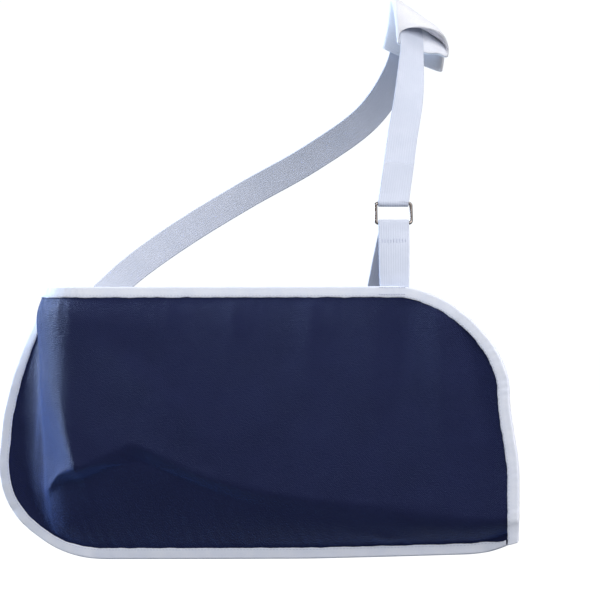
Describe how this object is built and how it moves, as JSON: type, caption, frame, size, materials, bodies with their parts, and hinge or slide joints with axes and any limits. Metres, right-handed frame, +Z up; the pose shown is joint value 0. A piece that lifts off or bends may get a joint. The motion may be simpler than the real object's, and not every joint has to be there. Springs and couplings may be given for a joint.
{
  "type": "arm sling",
  "caption": "Arm sling: navy cloth pouch with white binding, hung by a webbing tab and metal ring from a shoulder strap with a padded sleeve.",
  "frame": {"origin": "underside of the pad at the crest of its bend, where the sling hangs on the shoulder", "axes": "+X to the hand end of the pouch, +Y to the back, +Z up, as worn"},
  "size_m": [0.4335, 0.2997, 0.4807],
  "materials": {
    "pouch_cloth": "smooth navy knit laminate, soft sheen",
    "binding_tape": "white folded binding tape, matt",
    "webbing": "white ribbed webbing, matt",
    "pad_cloth": "white soft brushed cloth, padded",
    "ring_metal": "nickel-plated wire, polished"
  },
  "bodies": {
    "root": {"front_panel": "pouch_cloth", "back_panel": "pouch_cloth", "front_binding": "binding_tape", "back_binding": "binding_tape", "seam_binding": "binding_tape", "ring_loop": "webbing", "ring": "ring_metal", "shoulder_strap": "webbing", "neck_pad": "pad_cloth"}
  },
  "joints": []
}
